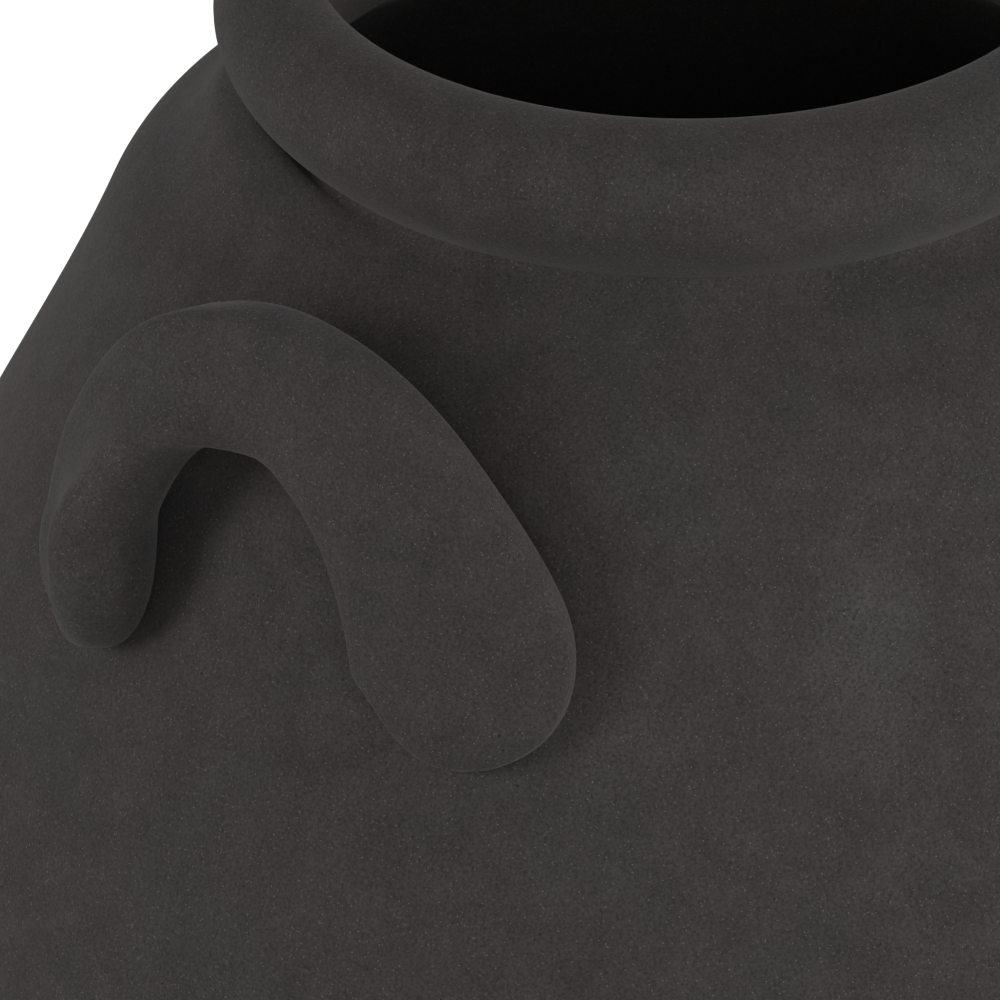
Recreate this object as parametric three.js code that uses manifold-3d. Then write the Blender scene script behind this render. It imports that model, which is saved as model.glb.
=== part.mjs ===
// A wide-shouldered stoneware vase with a rolled rim and two looped strap handles.
// Millimetres, +Z up. The origin is the centre of the ring that the vase stands on.

import * as THREE from 'three';
import { mergeVertices } from 'three/addons/utils/BufferGeometryUtils.js';
import Module from 'manifold-3d';

// Body: a thrown shell with a floor and a trimmed foot ring
const HEIGHT = 390;
const BELLY_RADIUS = 175;
const BELLY_HEIGHT = 182;
const SHOULDER_RADIUS = 120;
const SHOULDER_DROP = 57;
const SHOULDER_ROUNDING = 11;
const SHOULDER_LEAN = 22.5;
const UPPER_WALL_FULLNESS = 0.42;
const LOWER_WALL_FULLNESS = 0.45;
const FOOT_RADIUS = 92;
const FOOT_LEAN = 33;
const FOOT_ROUNDING = 8;
const FOOT_RING_WIDTH = 14;
const FOOT_RECESS = 4;
const FLOOR_THICKNESS = 11;
const FLOOR_ROUNDING = 16;
const FLOOR_ROUNDING_RISE = 9.6;
const WALL = 9;

// Rim: a thick roll luted over the top of the neck
const MOUTH_RADIUS = 78;
const LIP_ROUNDING = 6;
const RIM_WIDTH = 21.6;
const RIM_RADIUS = MOUTH_RADIUS + RIM_WIDTH;
const RIM_WIDEST_DROP = 15;
const RIM_TOP_FULLNESS = 0.6;
const RIM_UNDER_FULLNESS = 0.45;
const NECK_TOP_DROP = 17;
const CREASE_DROP = 34;
const CREASE_ROUNDING = 5;

// Joint between luted pieces
const JOINT = 0.3;

const CLAY = { color: 0x3b3938, roughness: 0.85, metalness: 0 };

// Handles: straps bent into a loop, with both ends pressed flat on the shoulder.
// Stations run from the left foot over the loop to the right foot, seen from outside.
// stand is how far the middle of the strap is off the wall, and turn tips its broad
// face towards the outside of the loop.
const HANDLE_DROP = 97;
const HANDLE_STATIONS = [
  { across: -50, rise: -21, stand: 4, width: 38, thickness: 15, turn: 14 },
  { across: -46, rise: -3, stand: 10, width: 38, thickness: 22, turn: 26 },
  { across: -43, rise: 17, stand: 17, width: 33, thickness: 21, turn: 30 },
  { across: -27.5, rise: 42.5, stand: 27, width: 28, thickness: 17, turn: 18 },
  { across: -8, rise: 48.7, stand: 28, width: 32, thickness: 16, turn: 4 },
  { across: 12, rise: 44, stand: 22, width: 37, thickness: 15, turn: 4 },
  { across: 30, rise: 28, stand: 14, width: 40, thickness: 15, turn: 8 },
  { across: 44, rise: 2, stand: 6, width: 48, thickness: 14, turn: 8 },
  { across: 49, rise: -20, stand: 3, width: 48, thickness: 12, turn: 4 },
];
const STRAP_SQUARENESS = 3.4;
const FOOT_REACH_BY_WIDTH = 0.62;
const FOOT_REACH_BY_THICKNESS = 0.8;

// Faceting
const TURN_SEGMENTS = 64;
const WALL_STEPS = 8;
const STRAP_RINGS = 44;
const STRAP_POINTS = 20;
const RING_CROWDING = 0.55;
const MERGE_DISTANCE = 1e-4;

const wasm = await Module();
wasm.setup();

const NECK_RADIUS = MOUTH_RADIUS + WALL;
const NECK_TOP = HEIGHT - NECK_TOP_DROP;
const FLOOR = FOOT_RECESS + FLOOR_THICKNESS;

const point = (radius, z) => new THREE.Vector2(radius, z);
const leaning = (degrees) => {
  const angle = THREE.MathUtils.degToRad(degrees);
  return point(Math.sin(angle), Math.cos(angle));
};
const bend = (a, corner, b) => new THREE.QuadraticBezierCurve(a, corner, b);
const sweep = (a, b, c, d) => new THREE.CubicBezierCurve(a, b, c, d);

// Outside of the body from the top of the neck down to the ground, as (radius, z)
function wallOutline(steps) {
  const crease = point(NECK_RADIUS, HEIGHT - CREASE_DROP);
  const shoulder = point(SHOULDER_RADIUS, HEIGHT - SHOULDER_DROP);
  const belly = point(BELLY_RADIUS, BELLY_HEIGHT);
  const foot = point(FOOT_RADIUS, 0);
  const above = shoulder.clone().sub(crease).normalize();
  const below = leaning(SHOULDER_LEAN).multiply(point(1, -1));
  const rising = leaning(FOOT_LEAN);
  const creaseStart = point(NECK_RADIUS, crease.y + CREASE_ROUNDING);
  const creaseEnd = crease.clone().addScaledVector(above, CREASE_ROUNDING);
  const shoulderStart = shoulder.clone().addScaledVector(above, -SHOULDER_ROUNDING);
  const shoulderEnd = shoulder.clone().addScaledVector(below, SHOULDER_ROUNDING);
  const footStart = foot.clone().addScaledVector(rising, FOOT_ROUNDING);
  const footEnd = point(FOOT_RADIUS - FOOT_ROUNDING, 0);
  const upperPull = (shoulderEnd.y - belly.y) * UPPER_WALL_FULLNESS;
  const lowerPull = (belly.y - footStart.y) * LOWER_WALL_FULLNESS;
  const upperWall = sweep(
    shoulderEnd,
    shoulderEnd.clone().addScaledVector(below, upperPull),
    point(belly.x, belly.y + upperPull),
    belly,
  );
  const lowerWall = sweep(
    belly,
    point(belly.x, belly.y - lowerPull),
    footStart.clone().addScaledVector(rising, lowerPull),
    footStart,
  );
  return [
    point(NECK_RADIUS, NECK_TOP),
    ...bend(creaseStart, crease, creaseEnd).getPoints(3),
    ...bend(shoulderStart, shoulder, shoulderEnd).getPoints(5),
    ...upperWall.getPoints(steps).slice(1),
    ...lowerWall.getPoints(steps).slice(1),
    ...bend(footStart, foot, footEnd).getPoints(3).slice(1),
  ];
}

// An outline drawn from the top down, moved outwards, or inwards where negative
function offset(outline, distance) {
  return outline.map((corner, i) => {
    const before = outline[Math.max(i - 1, 0)];
    const after = outline[Math.min(i + 1, outline.length - 1)];
    const along = after.clone().sub(before).normalize();
    return point(corner.x - along.y * distance, corner.y + along.x * distance);
  });
}

// Inside of the body from the floor's middle up to the top of the neck
function hollowOutline(steps) {
  const inside = offset(wallOutline(steps), -WALL);
  const wall = inside.filter((p) => p.y > FLOOR + FLOOR_ROUNDING_RISE).reverse();
  const direction = wall[0].clone().sub(wall[1]);
  const corner = wall[0].clone().addScaledVector(direction, (FLOOR - wall[0].y) / direction.y);
  const floorEdge = point(corner.x - FLOOR_ROUNDING, FLOOR);
  wall[wall.length - 1] = point(MOUTH_RADIUS, NECK_TOP);
  return [point(0, FLOOR), ...bend(floorEdge, corner, wall[0]).getPoints(4), ...wall.slice(1)];
}

// An outline drawn clockwise in (radius, z), turned about the vase's axis
function turned(outline) {
  const geometry = new THREE.LatheGeometry([...outline].reverse(), TURN_SEGMENTS);
  return geometry.rotateX(Math.PI / 2);
}

function bodyGeometry() {
  const footInner = FOOT_RADIUS - FOOT_ROUNDING - FOOT_RING_WIDTH;
  return turned([
    ...hollowOutline(WALL_STEPS / 2),
    ...wallOutline(WALL_STEPS),
    point(footInner, 0),
    point(footInner - FOOT_RECESS / 2, FOOT_RECESS),
    point(0, FOOT_RECESS),
  ]);
}

// The room that the body takes, filled in and with the joint's clearance round it
function bodyRoom() {
  const outside = offset(wallOutline(WALL_STEPS), JOINT);
  outside[0] = point(NECK_RADIUS + JOINT, NECK_TOP + JOINT);
  outside[outside.length - 1].y = -JOINT;
  return turned([point(0, NECK_TOP + JOINT), ...outside, point(0, -JOINT)]);
}

function rimGeometry(room) {
  const widest = point(RIM_RADIUS, HEIGHT - RIM_WIDEST_DROP);
  const crease = point(NECK_RADIUS, HEIGHT - CREASE_DROP);
  const lipStart = point(MOUTH_RADIUS, HEIGHT - LIP_ROUNDING);
  const lipEnd = point(MOUTH_RADIUS + LIP_ROUNDING, HEIGHT);
  const across = widest.x - lipEnd.x;
  const drop = widest.y - crease.y;
  const over = sweep(
    lipEnd,
    point(lipEnd.x + across * RIM_TOP_FULLNESS, HEIGHT),
    point(widest.x, widest.y + RIM_WIDEST_DROP * RIM_TOP_FULLNESS),
    widest,
  );
  const under = sweep(
    widest,
    point(widest.x, widest.y - drop * RIM_UNDER_FULLNESS),
    point(crease.x + (widest.x - crease.x) * RIM_UNDER_FULLNESS, crease.y + drop / 4),
    crease,
  );
  const roll = turned([
    point(MOUTH_RADIUS, NECK_TOP),
    ...bend(lipStart, point(MOUTH_RADIUS, HEIGHT), lipEnd).getPoints(4),
    ...over.getPoints(7).slice(1),
    ...under.getPoints(7).slice(1),
    point(MOUTH_RADIUS + WALL / 2, crease.y),
    point(MOUTH_RADIUS, NECK_TOP),
  ]);
  return toGeometry(toSolid(roll).subtract(room));
}

// Radius of the outside of the body at a height
function wallRadius(z) {
  const outline = wallOutline(WALL_STEPS * 4);
  const i = outline.findIndex((p, k) => k > 0 && p.y <= z);
  const [above, below] = [outline[i - 1], outline[i]];
  return below.x + (above.x - below.x) * ((z - below.y) / (above.y - below.y));
}

// Middle of the strap at one station, for a handle whose loop faces +X
function strapCentre({ across, rise, stand }) {
  const z = HEIGHT - HANDLE_DROP + rise;
  const radius = wallRadius(z) + stand;
  return new THREE.Vector3(Math.sqrt(radius ** 2 - across ** 2), across, z);
}

// How far along the loop each ring lies, closer together where the ends round off
function ringPlaces() {
  return Array.from({ length: STRAP_RINGS + 1 }, (_, i) => {
    const even = i / STRAP_RINGS;
    const crowded = (1 - Math.cos(Math.PI * even)) / 2;
    return THREE.MathUtils.lerp(even, crowded, RING_CROWDING);
  });
}

function strapGeometry() {
  const spine = new THREE.CatmullRomCurve3(HANDLE_STATIONS.map(strapCentre));
  const sections = new THREE.CatmullRomCurve3(
    HANDLE_STATIONS.map((s) => new THREE.Vector3(s.width, s.thickness, s.turn)),
  );
  const length = spine.getLength();
  const positions = [];
  const rings = ringPlaces().slice(1, -1);
  for (const place of rings) {
    const centre = spine.getPointAt(place);
    const along = spine.getTangentAt(place);
    const section = sections.getPoint(spine.getUtoTmapping(place));
    const outward = new THREE.Vector3(centre.x, centre.y, 0).normalize();
    outward.addScaledVector(along, -outward.dot(along)).normalize();
    outward.applyAxisAngle(along, -THREE.MathUtils.degToRad(section.z));
    const sideways = outward.clone().cross(along);
    const fromEnd = Math.min(place, 1 - place) * length;
    const round = (reach) => Math.sqrt(1 - Math.max(0, 1 - fromEnd / reach) ** 2);
    const halfWidth = (section.x / 2) * round(section.x * FOOT_REACH_BY_WIDTH);
    const halfThickness = (section.y / 2) * round(section.y * FOOT_REACH_BY_THICKNESS);
    for (let j = 0; j < STRAP_POINTS; j += 1) {
      const angle = (2 * Math.PI * j) / STRAP_POINTS;
      const squared = (v) => Math.sign(v) * Math.abs(v) ** (2 / STRAP_SQUARENESS);
      const corner = centre.clone();
      corner.addScaledVector(sideways, halfWidth * squared(Math.cos(angle)));
      corner.addScaledVector(outward, halfThickness * squared(Math.sin(angle)));
      positions.push(...corner.toArray());
    }
  }
  const ends = [spine.getPoint(0), spine.getPoint(1)];
  positions.push(...ends[0].toArray(), ...ends[1].toArray());
  const first = rings.length * STRAP_POINTS;
  const index = [];
  for (let j = 0; j < STRAP_POINTS; j += 1) {
    const next = (j + 1) % STRAP_POINTS;
    const last = (rings.length - 1) * STRAP_POINTS;
    index.push(first, next, j, first + 1, last + j, last + next);
    for (let i = 0; i < rings.length - 1; i += 1) {
      const [a, b] = [i * STRAP_POINTS + j, i * STRAP_POINTS + next];
      index.push(a, b, a + STRAP_POINTS, b, b + STRAP_POINTS, a + STRAP_POINTS);
    }
  }
  const geometry = new THREE.BufferGeometry();
  geometry.setAttribute('position', new THREE.Float32BufferAttribute(positions, 3));
  geometry.setIndex(index);
  return geometry;
}

function handleGeometry(room) {
  return toGeometry(toSolid(strapGeometry()).subtract(room));
}

function toSolid(geometry) {
  const bare = geometry.clone();
  bare.deleteAttribute('normal');
  bare.deleteAttribute('uv');
  const merged = mergeVertices(bare, MERGE_DISTANCE);
  const corners = merged.index.array;
  const triangles = [];
  for (let i = 0; i < corners.length; i += 3) {
    const [a, b, c] = corners.slice(i, i + 3);
    if (a !== b && b !== c && c !== a) triangles.push(a, b, c);
  }
  return new wasm.Manifold(new wasm.Mesh({
    numProp: 3,
    vertProperties: new Float32Array(merged.attributes.position.array),
    triVerts: new Uint32Array(triangles),
  }));
}

function toGeometry(solid) {
  const mesh = solid.getMesh();
  const geometry = new THREE.BufferGeometry();
  geometry.setAttribute('position', new THREE.BufferAttribute(mesh.vertProperties, 3));
  geometry.setIndex(new THREE.BufferAttribute(mesh.triVerts, 1));
  geometry.computeVertexNormals();
  return geometry;
}

function piece(name, geometry) {
  const mesh = new THREE.Mesh(geometry, new THREE.MeshStandardMaterial(CLAY));
  mesh.name = name;
  return mesh;
}

const vase = new THREE.Group();
const room = toSolid(bodyRoom());
vase.add(piece('body', bodyGeometry()));
vase.add(piece('rim_roll', rimGeometry(room)));

const rightHandle = piece('handle_right', handleGeometry(room));
const leftHandle = piece('handle_left', handleGeometry(room));
leftHandle.rotation.z = Math.PI;
vase.add(rightHandle, leftHandle);

export default vase;
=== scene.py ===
"""A charcoal stoneware vase with a rolled rim and looped strap handles, in metres, +Z up."""
import math

import bmesh
import bpy
from mathutils import Matrix, Vector, noise


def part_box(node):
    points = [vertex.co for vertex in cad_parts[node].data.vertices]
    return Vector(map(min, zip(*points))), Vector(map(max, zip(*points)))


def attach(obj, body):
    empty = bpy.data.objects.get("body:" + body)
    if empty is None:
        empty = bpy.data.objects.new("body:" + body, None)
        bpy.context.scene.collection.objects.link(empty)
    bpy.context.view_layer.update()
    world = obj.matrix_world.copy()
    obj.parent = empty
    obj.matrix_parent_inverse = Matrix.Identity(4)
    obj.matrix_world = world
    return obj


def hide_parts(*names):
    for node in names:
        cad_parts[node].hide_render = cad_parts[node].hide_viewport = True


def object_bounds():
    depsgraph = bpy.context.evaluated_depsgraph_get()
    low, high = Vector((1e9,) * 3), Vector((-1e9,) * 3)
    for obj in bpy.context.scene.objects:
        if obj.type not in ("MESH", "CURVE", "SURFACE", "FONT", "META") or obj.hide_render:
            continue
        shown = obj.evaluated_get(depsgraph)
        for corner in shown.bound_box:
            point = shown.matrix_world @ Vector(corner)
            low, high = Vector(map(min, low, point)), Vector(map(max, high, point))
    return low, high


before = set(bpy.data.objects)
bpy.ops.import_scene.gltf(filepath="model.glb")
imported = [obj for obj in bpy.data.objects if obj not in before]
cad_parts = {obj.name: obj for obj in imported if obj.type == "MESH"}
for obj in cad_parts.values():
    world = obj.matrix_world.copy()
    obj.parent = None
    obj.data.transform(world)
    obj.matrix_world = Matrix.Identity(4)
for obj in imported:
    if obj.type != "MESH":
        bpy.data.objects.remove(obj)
cad_low, cad_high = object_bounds()
bpy.ops.object.select_all(action="DESELECT")

MM = 0.001

# Sizes of the thrown body
HEIGHT = cad_high.z
BELLY_RADIUS = cad_high.x
BELLY_HEIGHT = 182 * MM
SHOULDER_RADIUS = 120 * MM
SHOULDER_DROP = 57 * MM
SHOULDER_ROUNDING = 11 * MM
SHOULDER_LEAN = math.radians(22.5)
UPPER_WALL_FULLNESS = 0.42
LOWER_WALL_FULLNESS = 0.45
FOOT_RADIUS = 92 * MM
FOOT_LEAN = math.radians(33)
FOOT_ROUNDING = 8 * MM
FOOT_RING_WIDTH = 14 * MM
FOOT_RECESS = 4 * MM
FLOOR_THICKNESS = 11 * MM
FLOOR_ROUNDING = 16 * MM
FLOOR_ROUNDING_RISE = 9.6 * MM
WALL = 9 * MM

# Sizes of the rim's roll
MOUTH_RADIUS = 78 * MM
LIP_ROUNDING = 6 * MM
RIM_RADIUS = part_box("rim_roll")[1][0]
RIM_WIDEST_DROP = 15 * MM
RIM_TOP_FULLNESS = 0.6
RIM_UNDER_FULLNESS = 0.45
NECK_TOP_DROP = 17 * MM
CREASE_DROP = 34 * MM
CREASE_ROUNDING = 5 * MM

# The slip between two joined pieces
JOINT = 0.3 * MM

# What follows from these sizes
NECK_RADIUS = MOUTH_RADIUS + WALL
NECK_TOP = HEIGHT - NECK_TOP_DROP
FLOOR = FOOT_RECESS + FLOOR_THICKNESS

# Stations of the strap from its left foot over the loop to its right foot: across, rise,
# stand off the wall, width and thickness in mm, turn in degrees, squareness, crest in mm.
# The rise starts from a level that lies HANDLE_DROP below the rim's top
HANDLE_DROP = 97 * MM
HANDLE_STATIONS = (
    (-50, -21, 4, 38, 15, 14, 3.4, 0.3),
    (-46, -3, 10, 38, 22, 26, 5.0, 1.6),
    (-43, 17, 17, 33, 21, 30, 5.5, 2.0),
    (-27.5, 42.5, 27, 28, 17, 18, 4.5, 1.0),
    (-8, 48.7, 28, 32, 16, 4, 3.4, 0.6),
    (12, 44, 22, 37, 15, 4, 3.4, 0.8),
    (30, 28, 14, 40, 15, 8, 3.4, 0),
    (44, 2, 6, 48, 14, 8, 3.4, 0),
    (49, -20, 3, 48, 12, 4, 3.4, 0),
)
PLAIN_SQUARENESS = 3.4
BACK_SOFTNESS = 0.65
FOOT_REACH_BY_WIDTH = 0.62
FOOT_REACH_BY_THICKNESS = 0.8
CREST_PLACE = -0.72
CREST_SPREAD = 0.28
DISH_PLACE = 0.2
DISH_SPREAD = 0.45

# How finely the pieces are divided
WHEEL_SEGMENTS = 256
OUTER_WALL_STEPS = 40
INNER_WALL_STEPS = 30
MEASURED_WALL_STEPS = 160
ROUNDING_STEPS = 8
SHOULDER_STEPS = 12
FOOT_STEPS = 6
LIP_STEPS = 10
RIM_STEPS = 20
STRAP_RINGS = 110
STRAP_POINTS = 48
STRAP_TRIES = 2000
RING_CROWDING = 0.55

# The slope from the crease to the shoulder has a point at twentieths 4 to 13 of its length
SLOPE_STEPS = 20
SLOPE_POINTS = range(4, 14)

# How the mesh of a thrown piece is merged and smoothed
MERGE_DISTANCE = 0.001 * MM
SMOOTHED_BELOW = math.radians(50)

# The potter's marks: a faint finger groove under the crease, and shallow hollows
GROOVE_HEIGHT = HEIGHT - 38 * MM
GROOVE_SPREAD = 1.3 * MM
GROOVE_DEPTH = 0.5 * MM
GROOVE_SCALE = 9
GROOVE_MEAN = 0.6
GROOVE_CHANGE = 0.8
HOLLOW_DEPTH = 0.5 * MM
HOLLOW_SCALE = 14

# Slip smoothed into the crease: from and to where, in degrees left of the view
CREASE_RADIUS = NECK_RADIUS + 0.5 * MM
FILLET_RADIUS = 113 * MM
FILLET_RISE = 8 * MM
FILLET_LEAD = 5 * MM
FILLET_STARTS = (34, 82)
FILLET_ENDS = (88, 120)

# Clay colours, linear
WARM_CLAY = (0.0475, 0.0402, 0.0380)
COOL_CLAY = (0.0425, 0.0405, 0.0400)
CHALK = (0.088, 0.084, 0.084)
PALE_GROG = (0.170, 0.158, 0.150)
RUSTY_GROG = (0.120, 0.075, 0.050)
PIT = (0.012, 0.011, 0.010)

# Patterns in the clay, in repeats to a metre
MOTTLE_SCALE = 26
WORN_SCALE = 70
CLOUD_SCALE = 95
LUMP_SCALE = 160
GRIT_SCALE = {"pale": 1700, "rusty": 800, "pits": 240}
SAND_SCALE = 1100
GRAIN_SCALE = 1500

# The part of a noise's range that makes the pattern, and the shades that it is stretched to
NOISE_MIDDLE = (0.3, 0.7)
CLOUD_SHADES = (0.86, 1.12)
GRAIN_SHADES = (0.68, 1.34)

# Two shades of the grain, then how well chalk holds on them, and how rough they are
CHALK_HOLD = ((0.8, 1.15), (0.2, 1))
ROUGHNESS = ((0.72, 1.3), (0.95, 0.8))

# Dots of grit are solid to half their size, and seven in ten of them are at full strength.
# A worn spot wobbles, and fades from its core to an edge past its radius
GRIT_CORE = 0.5
GRIT_STRONG = 0.7
WORN_WOBBLE = 0.9
WORN_EDGE = 1.45
WORN_CORE = 0.5

# The photograph's view: its width and the column of the vase's axis in pixels, its scale,
# and where the camera stands, turned round the vase and looking down through a long lens
PHOTO_WIDTH = 1000
PHOTO_AXIS = 689
PIXELS_PER_MM = 4.7
VIEW_TURN = math.radians(216.6)
VIEW_ELEVATION = math.radians(29.26)
VIEW_DISTANCE = 3.0
VIEW_HEIGHT = HEIGHT - 134.5 * MM
VIEW_WIDTH = PHOTO_WIDTH / PIXELS_PER_MM * MM
VIEW_SHIFT = (PHOTO_AXIS - PHOTO_WIDTH / 2) / PIXELS_PER_MM * MM
SENSOR_WIDTH = 36
CLIP_END = 50

# Lamps round the middle of the vase: right of it, above it and towards the view, in metres,
# then the lamp's size and power
LAMPS = {
    "left_box": ((-1.5, 0.55, 0.75), 0.9, 12.5),
    "right_box": ((1.6, 0.55, 0.6), 0.9, 17),
    "front_box": ((0.2, 0.7, 1.8), 1.2, 8),
}
LIT_HEIGHT = HEIGHT * 0.55
SKY_LEVEL = 0.14

# The floor, which glows for the camera alone: how far from the vase, and how strongly
FLOOR_SIZE = 30
FLOOR_COLOUR = (0.6, 0.6, 0.59, 1)
FLOOR_ROUGHNESS = 0.9
GLOW_NEAR = (0.25, 0.45)
GLOW_FAR = (0.7, 0.95)
WHITE = (1, 1, 1, 1)


def spot(turn, radius, height):
    """A point at an angle from the view, a radius and a height in mm."""
    angle = VIEW_TURN + math.radians(turn)
    return (math.cos(angle) * radius * MM, math.sin(angle) * radius * MM, height * MM)


def view_axes():
    """Directions from the vase towards the camera on the level, to the right, and up."""
    level = Vector((math.cos(VIEW_TURN), math.sin(VIEW_TURN), 0))
    right = Vector((-level.y, level.x, 0))
    return level, right, Vector((0, 0, 1))


def make_camera():
    """Aims beside the vase, as the photograph does, with the vase's axis kept upright."""
    level, right, up = view_axes()
    toward = level * math.cos(VIEW_ELEVATION) + up * math.sin(VIEW_ELEVATION)
    middle = up * VIEW_HEIGHT
    place = middle + toward * VIEW_DISTANCE
    back = (place - middle + right * VIEW_SHIFT).normalized()
    side = toward.cross(right).cross(back).normalized()
    turn = Matrix((side, back.cross(side), back)).transposed()
    data = bpy.data.cameras.new("camera")
    data.sensor_width = SENSOR_WIDTH
    data.lens = SENSOR_WIDTH * VIEW_DISTANCE / VIEW_WIDTH
    data.clip_end = CLIP_END
    camera = bpy.data.objects.new("camera", data)
    camera.matrix_world = Matrix.Translation(place) @ turn.to_4x4()
    bpy.context.collection.objects.link(camera)
    bpy.context.scene.camera = camera


def bend(a, corner, b, steps):
    """Points of a rounded corner, from a to b."""
    points = []
    for i in range(steps + 1):
        t = i / steps
        points.append(a * (1 - t) ** 2 + corner * 2 * t * (1 - t) + b * t * t)
    return points


def sweep(a, b, c, d, steps):
    """Points of a cubic curve from a to d, pulled towards b and c."""
    points = []
    for i in range(steps + 1):
        t = i / steps
        s = 1 - t
        points.append(a * s**3 + b * 3 * s * s * t + c * 3 * s * t * t + d * t**3)
    return points


def leaning(angle):
    """Direction of a wall that leans outwards from upright, as (radius, z)."""
    return Vector((math.sin(angle), math.cos(angle)))


def wall_outline(steps):
    """Outside of the body from the top of the neck down to the ground, as (radius, z)."""
    crease = Vector((NECK_RADIUS, HEIGHT - CREASE_DROP))
    shoulder = Vector((SHOULDER_RADIUS, HEIGHT - SHOULDER_DROP))
    belly = Vector((BELLY_RADIUS, BELLY_HEIGHT))
    foot = Vector((FOOT_RADIUS, 0))
    above = (shoulder - crease).normalized()
    below = leaning(SHOULDER_LEAN) * Vector((1, -1))
    rising = leaning(FOOT_LEAN)
    shoulder_end = shoulder + below * SHOULDER_ROUNDING
    foot_start = foot + rising * FOOT_ROUNDING
    upper_pull = (shoulder_end.y - belly.y) * UPPER_WALL_FULLNESS
    lower_pull = (belly.y - foot_start.y) * LOWER_WALL_FULLNESS
    upper_wall = sweep(
        shoulder_end,
        shoulder_end + below * upper_pull,
        belly + Vector((0, upper_pull)),
        belly,
        steps,
    )
    lower_wall = sweep(
        belly,
        belly - Vector((0, lower_pull)),
        foot_start + rising * lower_pull,
        foot_start,
        steps,
    )
    crease_start = crease + Vector((0, CREASE_ROUNDING))
    shoulder_start = shoulder - above * SHOULDER_ROUNDING
    foot_end = foot - Vector((FOOT_ROUNDING, 0))
    return (
        [Vector((NECK_RADIUS, NECK_TOP))]
        + bend(crease_start, crease, crease + above * CREASE_ROUNDING, ROUNDING_STEPS)
        + [crease.lerp(shoulder, step / SLOPE_STEPS) for step in SLOPE_POINTS]
        + bend(shoulder_start, shoulder, shoulder_end, SHOULDER_STEPS)
        + upper_wall[1:]
        + lower_wall[1:]
        + bend(foot_start, foot, foot_end, FOOT_STEPS)[1:]
    )


def offset(outline, distance):
    """An outline drawn from the top down, moved outwards, or inwards where negative."""
    moved = []
    for i, corner in enumerate(outline):
        before = outline[max(i - 1, 0)]
        after = outline[min(i + 1, len(outline) - 1)]
        along = (after - before).normalized()
        moved.append(Vector((corner.x - along.y * distance, corner.y + along.x * distance)))
    return moved


def body_outline():
    """The whole shell: up the inside from the floor's middle, down the outside, and in again."""
    outside = wall_outline(OUTER_WALL_STEPS)
    inner_wall = offset(wall_outline(INNER_WALL_STEPS), -WALL)
    inside = [p for p in inner_wall if p.y > FLOOR + FLOOR_ROUNDING_RISE]
    inside.reverse()
    direction = inside[0] - inside[1]
    corner = inside[0] + direction * ((FLOOR - inside[0].y) / direction.y)
    floor_edge = Vector((corner.x - FLOOR_ROUNDING, FLOOR))
    inside[-1] = Vector((MOUTH_RADIUS, NECK_TOP))
    foot_inner = FOOT_RADIUS - FOOT_ROUNDING - FOOT_RING_WIDTH
    return (
        [Vector((0, FLOOR))]
        + bend(floor_edge, corner, inside[0], ROUNDING_STEPS)
        + inside[1:]
        + outside
        + [Vector((foot_inner, 0)), Vector((foot_inner - FOOT_RECESS / 2, FOOT_RECESS))]
        + [Vector((0, FOOT_RECESS))]
    )


def rim_outline():
    """The roll of the rim, drawn round from the inside of the mouth."""
    widest = Vector((RIM_RADIUS, HEIGHT - RIM_WIDEST_DROP))
    crease = Vector((NECK_RADIUS + JOINT, HEIGHT - CREASE_DROP))
    lip_start = Vector((MOUTH_RADIUS, HEIGHT - LIP_ROUNDING))
    lip_end = Vector((MOUTH_RADIUS + LIP_ROUNDING, HEIGHT))
    across = RIM_RADIUS - lip_end.x
    drop = widest.y - crease.y
    over = sweep(
        lip_end,
        lip_end + Vector((across * RIM_TOP_FULLNESS, 0)),
        widest + Vector((0, RIM_WIDEST_DROP * RIM_TOP_FULLNESS)),
        widest,
        RIM_STEPS,
    )
    under = sweep(
        widest,
        widest - Vector((0, drop * RIM_UNDER_FULLNESS)),
        crease + Vector(((RIM_RADIUS - crease.x) * RIM_UNDER_FULLNESS, drop / 4)),
        crease,
        RIM_STEPS,
    )
    return (
        [Vector((MOUTH_RADIUS, NECK_TOP + JOINT))]
        + bend(lip_start, Vector((MOUTH_RADIUS, HEIGHT)), lip_end, LIP_STEPS)
        + over[1:]
        + under[1:]
        + [Vector((NECK_RADIUS + JOINT, NECK_TOP + JOINT))]
    )


def as_piece(name, shape):
    """Makes an object of the scene from a shape of loose vertices, edges and faces."""
    mesh = bpy.data.meshes.new(name)
    shape.to_mesh(mesh)
    shape.free()
    piece = bpy.data.objects.new(name, mesh)
    bpy.context.collection.objects.link(piece)
    return piece


def thrown(name, outline, closed):
    """Spins an outline about the vase's axis into one closed skin."""
    shape = bmesh.new()
    verts = [shape.verts.new((p.x, 0, p.y)) for p in outline]
    loop = verts + verts[:1] if closed else verts
    for a, b in zip(loop, loop[1:]):
        shape.edges.new((a, b))
    piece = as_piece(name, shape)
    bpy.context.view_layer.objects.active = piece
    piece.select_set(True)
    bpy.ops.object.mode_set(mode="EDIT")
    bpy.ops.mesh.select_all(action="SELECT")
    bpy.ops.mesh.spin(steps=WHEEL_SEGMENTS, angle=math.tau, center=(0, 0, 0), axis=(0, 0, 1))
    bpy.ops.mesh.select_all(action="SELECT")
    bpy.ops.mesh.remove_doubles(threshold=MERGE_DISTANCE)
    bpy.ops.mesh.normals_make_consistent(inside=False)
    bpy.ops.object.mode_set(mode="OBJECT")
    bpy.ops.object.shade_smooth_by_angle(angle=SMOOTHED_BELOW)
    bpy.ops.object.select_all(action="DESELECT")
    return piece


def wall_radius(z):
    """Radius of the body's outside at a height."""
    for above, below in zip(WALL_POINTS, WALL_POINTS[1:]):
        if below.y <= z:
            return below.x + (above.x - below.x) * (z - below.y) / (above.y - below.y)
    return WALL_POINTS[-1].x


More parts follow.
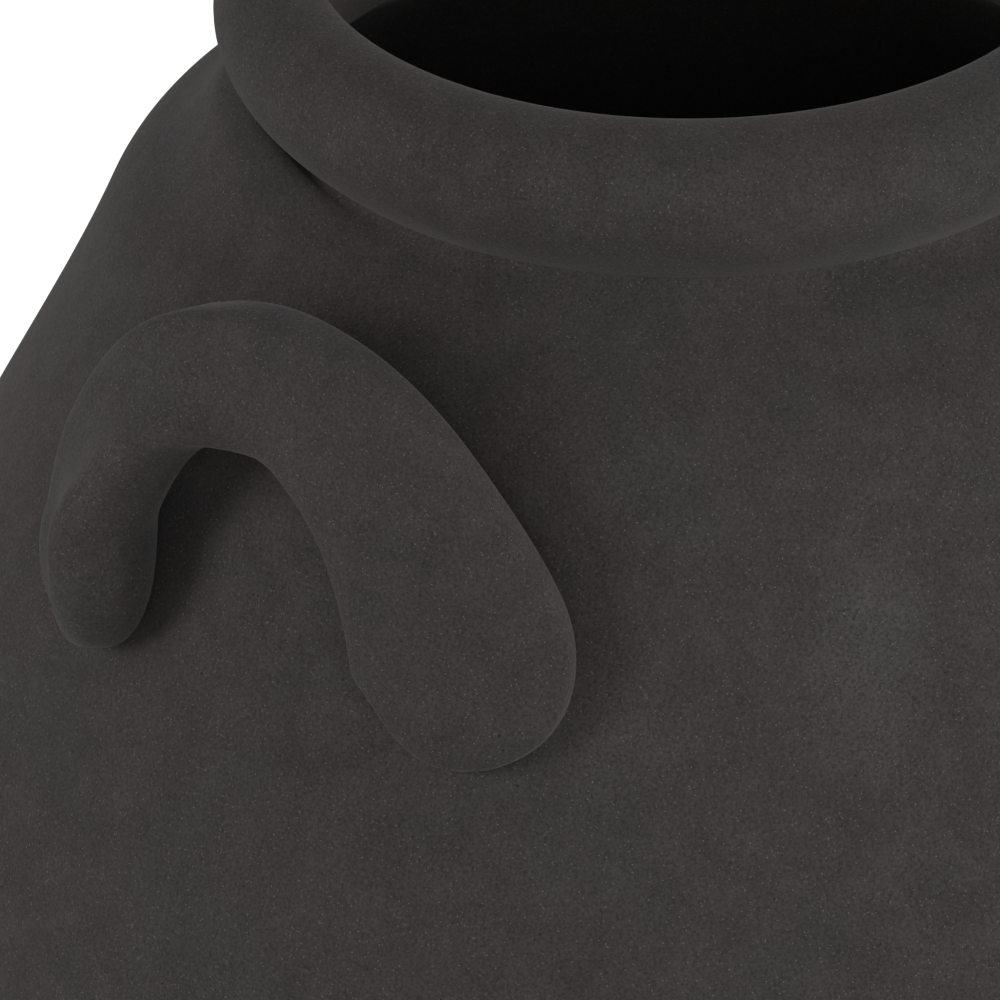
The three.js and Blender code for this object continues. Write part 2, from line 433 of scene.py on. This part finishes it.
def blend_stations(values, place):
    """A smooth curve through the stations' rows, at a place from 0 to their count less one."""
    i = min(int(place), len(values) - 2)
    t = place - i
    start, end = values[i], values[i + 1]
    before = values[i - 1] if i > 0 else [2 * a - b for a, b in zip(start, end)]
    after = values[i + 2] if i + 2 < len(values) else [2 * b - a for a, b in zip(start, end)]
    row = []
    for p0, p1, p2, p3 in zip(before, start, end, after):
        slope_in = (p2 - p0) / 2
        slope_out = (p3 - p1) / 2
        from_start = (2 * t**3 - 3 * t**2 + 1) * p1 + (t**3 - 2 * t**2 + t) * slope_in
        from_end = (3 * t**2 - 2 * t**3) * p2 + (t**3 - t**2) * slope_out
        row.append(from_start + from_end)
    return row


def strap_rows():
    """The stations with the strap's middle as a place, for a handle whose loop faces +X."""
    rows = []
    for across, rise, stand, width, thickness, turn, squareness, crest in HANDLE_STATIONS:
        z = HEIGHT - HANDLE_DROP + rise * MM
        radius = wall_radius(z) + stand * MM
        y = across * MM
        x = math.sqrt(radius**2 - y**2)
        section = (width * MM, thickness * MM, math.radians(turn), squareness, crest * MM)
        rows.append((x, y, z, *section))
    return rows


def strap_walk(rows):
    """Rows along the strap's middle line, crowded where the feet round off."""
    last = len(rows) - 1
    fine = [blend_stations(rows, last * i / STRAP_TRIES) for i in range(STRAP_TRIES + 1)]
    places = [Vector(row[:3]) for row in fine]
    lengths = [0]
    for a, b in zip(places, places[1:]):
        lengths.append(lengths[-1] + (b - a).length)
    total = lengths[-1]
    walk = []
    k = 0
    for i in range(STRAP_RINGS + 1):
        even = i / STRAP_RINGS
        crowded = (1 - math.cos(math.pi * even)) / 2
        goal = (even * (1 - RING_CROWDING) + crowded * RING_CROWDING) * total
        while k < STRAP_TRIES - 1 and lengths[k + 1] < goal:
            k += 1
        share = (goal - lengths[k]) / (lengths[k + 1] - lengths[k])
        row = [a + (b - a) * share for a, b in zip(fine[k], fine[k + 1])]
        ahead = places[min(k + 2, STRAP_TRIES)] - places[max(k - 1, 0)]
        walk.append((row, ahead.normalized(), min(goal, total - goal)))
    return walk


def rounded(from_end, reach):
    """Share of the full section near an end that rounds off over a reach."""
    return math.sqrt(1 - max(0, 1 - from_end / reach) ** 2)


def strap_section(row, along, from_end):
    """A squared oval across the strap, softer at the back, with its crest and dish in front."""
    x, y, z, width, thickness, turn, squareness, crest = row
    outward = Vector((x, y, 0)).normalized()
    outward = (outward - along * outward.dot(along)).normalized()
    outward = Matrix.Rotation(-turn, 3, along) @ outward
    sideways = outward.cross(along)
    half_width = width / 2 * rounded(from_end, width * FOOT_REACH_BY_WIDTH)
    half_thickness = thickness / 2 * rounded(from_end, thickness * FOOT_REACH_BY_THICKNESS)
    front = 2 / squareness
    back = 2 / (PLAIN_SQUARENESS - (squareness - PLAIN_SQUARENESS) * BACK_SOFTNESS)
    ring = []
    for j in range(STRAP_POINTS):
        angle = math.tau * j / STRAP_POINTS
        c, s = math.cos(angle), math.sin(angle)
        power = front if s > 0 else back
        a = math.copysign(abs(c) ** power, c)
        b = math.copysign(abs(s) ** power, s) * half_thickness
        if s > 0:
            ridge = math.exp(-(((a - CREST_PLACE) / CREST_SPREAD) ** 2))
            dish = math.exp(-(((a - DISH_PLACE) / DISH_SPREAD) ** 2))
            b += crest * (ridge - dish) * s
        ring.append(Vector((x, y, z)) + sideways * a * half_width + outward * b)
    return ring


def strap(name):
    """Lofts the sections into one closed skin that faces +X."""
    walk = strap_walk(strap_rows())
    shape = bmesh.new()
    rings = []
    for row, along, from_end in walk[1:-1]:
        rings.append([shape.verts.new(p) for p in strap_section(row, along, from_end)])
    for lower, upper in zip(rings, rings[1:]):
        for j in range(STRAP_POINTS):
            n = (j + 1) % STRAP_POINTS
            shape.faces.new((lower[j], lower[n], upper[n], upper[j]))
    for ring, tip, flip in ((rings[0], walk[0][0], True), (rings[-1], walk[-1][0], False)):
        pole = shape.verts.new(tip[:3])
        for j in range(STRAP_POINTS):
            n = (j + 1) % STRAP_POINTS
            shape.faces.new((pole, ring[n], ring[j]) if flip else (pole, ring[j], ring[n]))
    bmesh.ops.recalc_face_normals(shape, faces=shape.faces)
    piece = as_piece(name, shape)
    for polygon in piece.data.polygons:
        polygon.use_smooth = True
    return piece


def ramp(value, low, high):
    """A soft step from 0 at low to 1 at high."""
    t = min(max((value - low) / (high - low), 0), 1)
    return t * t * (3 - 2 * t)


def fillet(piece):
    """Smooths slip into the crease under the rim, on the stretch left of the view."""
    for vertex in piece.data.vertices:
        p = vertex.co
        radius = math.hypot(p.x, p.y)
        sloping = CREASE_RADIUS < radius < FILLET_RADIUS and p.z > HEIGHT - SHOULDER_DROP
        if not sloping or abs(radius - wall_radius(p.z)) > JOINT:
            continue
        left = math.degrees(VIEW_TURN - math.atan2(p.y, p.x)) % 360
        share = ramp(left, *FILLET_STARTS) * (1 - ramp(left, *FILLET_ENDS))
        rise = min(((FILLET_RADIUS - radius) / (FILLET_RADIUS - RIM_RADIUS)) ** 2, 1)
        lead = ramp(radius, CREASE_RADIUS, CREASE_RADIUS + FILLET_LEAD)
        p.z += FILLET_RISE * share * rise * lead


def settle(piece, depth, scale):
    """Leaves the potter's hand in a wall: a groove and hollows, pressed towards the axis."""
    for vertex in piece.data.vertices:
        p = vertex.co
        radius = math.hypot(p.x, p.y)
        if radius < FOOT_RADIUS / 2:
            continue
        hollow = 0.5 + 0.5 * noise.noise(p * scale)
        groove = math.exp(-(((p.z - GROOVE_HEIGHT) / GROOVE_SPREAD) ** 2)) * GROOVE_DEPTH
        here = noise.noise(Vector((p.x, p.y, 1)) * GROOVE_SCALE)
        groove *= GROOVE_MEAN + GROOVE_CHANGE * here
        pressed = 1 - (depth * hollow + max(groove, 0)) / radius
        p.x *= pressed
        p.y *= pressed


class Clay:
    """A node material for unglazed clay, built up layer by layer on Object coordinates."""

    def __init__(self, name):
        self.material = bpy.data.materials.new(name)
        self.material.use_nodes = True
        self.nodes = self.material.node_tree.nodes
        self.links = self.material.node_tree.links
        self.shader = self.nodes["Principled BSDF"]
        self.place = self.nodes.new("ShaderNodeTexCoord").outputs["Object"]

    def cloud(self, scale, detail=2, roughness=0.5):
        node = self.nodes.new("ShaderNodeTexNoise")
        node.inputs["Scale"].default_value = scale
        node.inputs["Detail"].default_value = detail
        node.inputs["Roughness"].default_value = roughness
        self.links.new(self.place, node.inputs["Vector"])
        return node.outputs["Fac"]

    def grit(self, scale, size, share):
        """Dots of one size, in only some of the cells that fill the clay."""
        cells = self.nodes.new("ShaderNodeTexVoronoi")
        cells.inputs["Scale"].default_value = scale
        self.links.new(self.place, cells.inputs["Vector"])
        pick = self.nodes.new("ShaderNodeSeparateColor")
        self.links.new(cells.outputs["Color"], pick.inputs["Color"])
        dot = self.remap(cells.outputs["Distance"], (size, size * GRIT_CORE))
        chosen = self.remap(pick.outputs["Red"], (1 - share, 1 - share * GRIT_STRONG))
        return self.math("MULTIPLY", dot, chosen)

    def remap(self, source, old, new=(0, 1)):
        """Stretches the values between two old ones to lie between two new ones, and clips."""
        node = self.nodes.new("ShaderNodeMapRange")
        node.inputs["From Min"].default_value = old[0]
        node.inputs["From Max"].default_value = old[1]
        node.inputs["To Min"].default_value = new[0]
        node.inputs["To Max"].default_value = new[1]
        self.links.new(source, node.inputs["Value"])
        return node.outputs["Result"]

    def math(self, operation, a, b):
        node = self.nodes.new("ShaderNodeMath")
        node.operation = operation
        for socket, value in zip(node.inputs, (a, b)):
            if isinstance(value, (int, float)):
                socket.default_value = value
            else:
                self.links.new(value, socket)
        return node.outputs[0]

    def mix(self, share, a, b, blend="MIX"):
        node = self.nodes.new("ShaderNodeMix")
        node.data_type = "RGBA"
        node.blend_type = blend
        if isinstance(share, (int, float)):
            node.inputs["Factor"].default_value = share
        else:
            self.links.new(share, node.inputs["Factor"])
        for socket, value in ((node.inputs["A"], a), (node.inputs["B"], b)):
            if isinstance(value, tuple):
                socket.default_value = (*value, 1)
            else:
                self.links.new(value, socket)
        return node.outputs["Result"]

    def patch(self, centre, radius, strength, hold):
        """A soft worn spot round a point, broken up by how well the grain holds it."""
        away = self.nodes.new("ShaderNodeVectorMath")
        away.operation = "DISTANCE"
        away.inputs[1].default_value = centre
        self.links.new(self.place, away.inputs[0])
        wobble = self.math("MULTIPLY", self.cloud(WORN_SCALE), radius * WORN_WOBBLE)
        reach = self.math("ADD", away.outputs["Value"], wobble)
        worn = self.remap(reach, (radius * WORN_EDGE, radius * WORN_CORE), (0, strength))
        return self.math("MULTIPLY", worn, hold)

    def raise_bump(self, height, depth, strength, under=None):
        node = self.nodes.new("ShaderNodeBump")
        node.inputs["Strength"].default_value = strength
        node.inputs["Distance"].default_value = depth
        self.links.new(height, node.inputs["Height"])
        if under:
            self.links.new(under, node.inputs["Normal"])
        return node.outputs["Normal"]

    def sprinkle(self, colour, dots, dot_colour, strength):
        """Lays dots of grit over a colour."""
        return self.mix(self.math("MULTIPLY", dots, strength), colour, dot_colour)


def clay(name, patches):
    """Mottled charcoal clay with worn spots, then its grit, its gloss and its sandy surface."""
    made = Clay(name)
    mottle = made.remap(made.cloud(MOTTLE_SCALE, roughness=0.6), NOISE_MIDDLE)
    clouds = made.cloud(CLOUD_SCALE, detail=3, roughness=0.65)
    cloudy = made.remap(clouds, NOISE_MIDDLE, CLOUD_SHADES)
    fine = made.remap(made.cloud(GRAIN_SCALE, roughness=0.7), NOISE_MIDDLE, GRAIN_SHADES)
    shade = made.math("MULTIPLY", cloudy, fine)
    grey = made.nodes.new("ShaderNodeCombineColor")
    for channel in ("Red", "Green", "Blue"):
        made.links.new(shade, grey.inputs[channel])
    colour = made.mix(mottle, COOL_CLAY, WARM_CLAY)
    colour = made.mix(1.0, colour, grey.outputs["Color"], "MULTIPLY")
    hold = made.remap(fine, *CHALK_HOLD)
    for centre, radius, strength in patches:
        colour = made.mix(made.patch(centre, radius, strength, hold), colour, CHALK)
    pale = made.grit(GRIT_SCALE["pale"], size=0.32, share=0.16)
    rust = made.grit(GRIT_SCALE["rusty"], size=0.24, share=0.05)
    pits = made.grit(GRIT_SCALE["pits"], size=0.085, share=0.2)
    colour = made.sprinkle(colour, pale, PALE_GROG, strength=0.75)
    colour = made.sprinkle(colour, rust, RUSTY_GROG, strength=0.7)
    colour = made.sprinkle(colour, pits, PIT, strength=0.85)
    made.links.new(colour, made.shader.inputs["Base Color"])
    made.links.new(made.remap(fine, *ROUGHNESS), made.shader.inputs["Roughness"])
    made.shader.inputs["Specular IOR Level"].default_value = 0.18
    made.shader.inputs["Sheen Weight"].default_value = 0.07
    made.shader.inputs["Sheen Roughness"].default_value = 0.45
    lumps = made.cloud(LUMP_SCALE, detail=1)
    sand = made.cloud(SAND_SCALE, roughness=0.75)
    specks = made.math("SUBTRACT", pale, pits)
    normal = made.raise_bump(lumps, depth=0.4 * MM, strength=0.35)
    normal = made.raise_bump(sand, depth=0.18 * MM, strength=0.55, under=normal)
    normal = made.raise_bump(specks, depth=0.12 * MM, strength=0.6, under=normal)
    made.links.new(normal, made.shader.inputs["Normal"])
    return made.material


def make_world():
    """White to the camera and in gloss and glass, and a dim even sky for all other light."""
    world = bpy.data.worlds.new("studio")
    bpy.context.scene.world = world
    world.use_nodes = True
    nodes, links = world.node_tree.nodes, world.node_tree.links
    paths = nodes.new("ShaderNodeLightPath")
    seen = paths.outputs["Is Camera Ray"]
    for ray in ("Is Glossy Ray", "Is Transmission Ray"):
        either = nodes.new("ShaderNodeMath")
        either.operation = "ADD"
        either.use_clamp = True
        links.new(seen, either.inputs[0])
        links.new(paths.outputs[ray], either.inputs[1])
        seen = either.outputs[0]
    level = nodes.new("ShaderNodeMapRange")
    level.inputs["To Min"].default_value = SKY_LEVEL
    level.inputs["To Max"].default_value = 1
    links.new(seen, level.inputs["Value"])
    background = nodes["Background"]
    background.inputs["Color"].default_value = WHITE
    links.new(level.outputs["Result"], background.inputs["Strength"])


def make_lamp(name, place, size, power):
    """A round soft box that faces the vase."""
    level, right, up = view_axes()
    middle = up * LIT_HEIGHT
    to_right, above, nearer = place
    stand = middle + right * to_right + up * above + level * nearer
    data = bpy.data.lights.new(name, "AREA")
    data.shape = "DISK"
    data.size = size
    data.energy = power
    lamp = bpy.data.objects.new(name, data)
    bpy.context.collection.objects.link(lamp)
    lamp.location = stand
    lamp.rotation_euler = (middle - stand).to_track_quat("-Z", "Y").to_euler()


def make_floor():
    """A pale floor, lit up to the camera alone, and less so round the vase."""
    bpy.ops.mesh.primitive_plane_add(size=FLOOR_SIZE, location=(0, 0, 0))
    floor = bpy.context.active_object
    floor.name = "floor"
    material = bpy.data.materials.new("pale_floor")
    material.use_nodes = True
    nodes, links = material.node_tree.nodes, material.node_tree.links
    away = nodes.new("ShaderNodeVectorMath")
    away.operation = "LENGTH"
    links.new(nodes.new("ShaderNodeTexCoord").outputs["Object"], away.inputs[0])
    level = nodes.new("ShaderNodeMapRange")
    level.inputs["From Min"].default_value, level.inputs["To Min"].default_value = GLOW_NEAR
    level.inputs["From Max"].default_value, level.inputs["To Max"].default_value = GLOW_FAR
    links.new(away.outputs["Value"], level.inputs["Value"])
    glow = nodes.new("ShaderNodeMath")
    glow.operation = "MULTIPLY"
    links.new(nodes.new("ShaderNodeLightPath").outputs["Is Camera Ray"], glow.inputs[0])
    links.new(level.outputs["Result"], glow.inputs[1])
    shader = nodes["Principled BSDF"]
    shader.inputs["Base Color"].default_value = FLOOR_COLOUR
    shader.inputs["Roughness"].default_value = FLOOR_ROUGHNESS
    shader.inputs["Emission Color"].default_value = WHITE
    links.new(glow.outputs[0], shader.inputs["Emission Strength"])
    floor.data.materials.append(material)
    bpy.ops.object.select_all(action="DESELECT")


make_camera()
WALL_POINTS = wall_outline(MEASURED_WALL_STEPS)

# Worn chalky spots of each clay: the middle, then the radius and strength
WORN = {
    "body_clay": (
        (spot(15.6, 132.6, 303.8), 17 * MM, 0.46),
        (spot(15, 141.8, 285.6), 20 * MM, 0.36),
        (spot(-5.6, 143.6, 282.1), 19 * MM, 0.28),
    ),
    "rim_clay": ((spot(-47.8, 99.6, 375), 5 * MM, 0.4),),
    "handle_clay": ((spot(-35.4, 142.8, 332.8), 9 * MM, 0.15),),
}

body = thrown("thrown_body", body_outline(), closed=False)
rim = thrown("rolled_rim", rim_outline(), closed=True)
fillet(body)
settle(body, HOLLOW_DEPTH, HOLLOW_SCALE)
settle(rim, HOLLOW_DEPTH, HOLLOW_SCALE)
right_strap = strap("strap_right")
left_strap = strap("strap_left")
left_strap.data.transform(Matrix.Rotation(math.pi, 4, "Z"))
for piece, node, slot in (
    (body, "body", "body_clay"),
    (rim, "rim_roll", "rim_clay"),
    (right_strap, "handle_right", "handle_clay"),
    (left_strap, "handle_left", "handle_clay"),
):
    piece.data.materials.append(clay(slot, WORN[slot]))
    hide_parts(node)
    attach(piece, "root")

make_floor()
make_world()
for name, (place, size, power) in LAMPS.items():
    make_lamp(name, place, size, power)
bpy.context.scene.view_settings.view_transform = "Standard"
